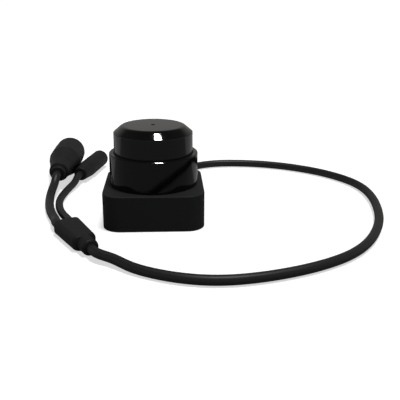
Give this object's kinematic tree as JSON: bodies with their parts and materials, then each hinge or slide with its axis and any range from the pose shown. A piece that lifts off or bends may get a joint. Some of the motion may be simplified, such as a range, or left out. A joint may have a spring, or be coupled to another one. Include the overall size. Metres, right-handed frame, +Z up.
{
  "type": "lidar scanner module",
  "caption": "Square-based scanning lidar with a round glossy collar and window cap over a spinning optical head, and a rear cable that splits into network and power sockets.",
  "frame": {"origin": "middle of the base's underside, on the surface the module stands on", "axes": "+Z up along the scanner's spin axis, +Y to the rear face that the cable leaves, +X to the right as seen from the front"},
  "size_m": [0.1892, 0.1821, 0.0476],
  "materials": {
    "satin_black": "fine satin texture moulded in black plastic",
    "gloss_black": "high gloss black",
    "window_black": "polished near-infrared window plastic, black to the eye",
    "cord_rubber": "matt moulded rubber-like plastic",
    "cord_jacket": "smooth extruded jacket with a soft sheen",
    "seal_rubber": "soft silicone",
    "board_green": "solder-resist coated circuit board",
    "chip_black": "moulded epoxy",
    "white_plastic": "natural nylon",
    "steel": "ground steel",
    "dark_steel": "black oxide steel",
    "aluminium": "turned aluminium",
    "copper": "enamelled copper winding",
    "gold_brass": "gold-plated brass",
    "magnet": "bonded ferrite",
    "lens_glass": "coated moulded lens"
  },
  "bodies": {
    "base": {"base_housing": "satin_black", "bottom_plate": "satin_black", "bottom_seal": "seal_rubber", "bottom_screw_1": "dark_steel", "bottom_screw_2": "dark_steel", "bottom_screw_3": "dark_steel", "bottom_screw_4": "dark_steel", "collar": "gloss_black", "collar_screw_1": "dark_steel", "collar_screw_2": "dark_steel", "collar_screw_3": "dark_steel", "window_cap": "window_black", "window_seal": "seal_rubber", "main_board": "board_green", "power_board": "board_green", "board_spacer_1": "gold_brass", "board_spacer_2": "gold_brass", "board_spacer_3": "gold_brass", "board_spacer_4": "gold_brass", "processor_chip": "chip_black", "network_transformer": "chip_black", "cable_header": "white_plastic", "filter_capacitor": "aluminium", "motor_bracket": "aluminium", "lower_bearing": "steel", "upper_bearing": "steel", "motor_board": "board_green", "stator_core": "steel", "stator_coil_1": "copper", "stator_coil_2": "copper", "stator_coil_3": "copper", "stator_coil_4": "copper", "stator_coil_5": "copper", "stator_coil_6": "copper", "primary_coil": "copper", "index_sensor": "chip_black", "strain_relief": "cord_rubber", "internal_lead": "cord_jacket", "main_cord": "cord_jacket", "cord_split": "cord_rubber", "network_tail": "cord_jacket", "power_tail": "cord_jacket", "network_socket": "cord_rubber", "network_jack": "white_plastic", "network_contacts": "gold_brass", "power_socket": "cord_rubber", "power_sleeve": "steel", "power_pin": "gold_brass"},
    "scan_head": {"shaft": "steel", "rotor_bell": "dark_steel", "magnet_ring": "magnet", "turntable": "satin_black", "secondary_coil": "copper", "head_board": "board_green", "optics_frame": "satin_black", "receiver_lens": "lens_glass", "emitter_lens": "lens_glass", "laser_diode": "gold_brass", "receiver_board": "board_green", "laser_board": "board_green"}
  },
  "joints": [
    {"name": "scan_spin", "type": "hinge", "parent": "base", "child": "scan_head", "pos_m": [0, 0, 0.03], "axis": [0, 0, 1], "continuous": true}
  ]
}
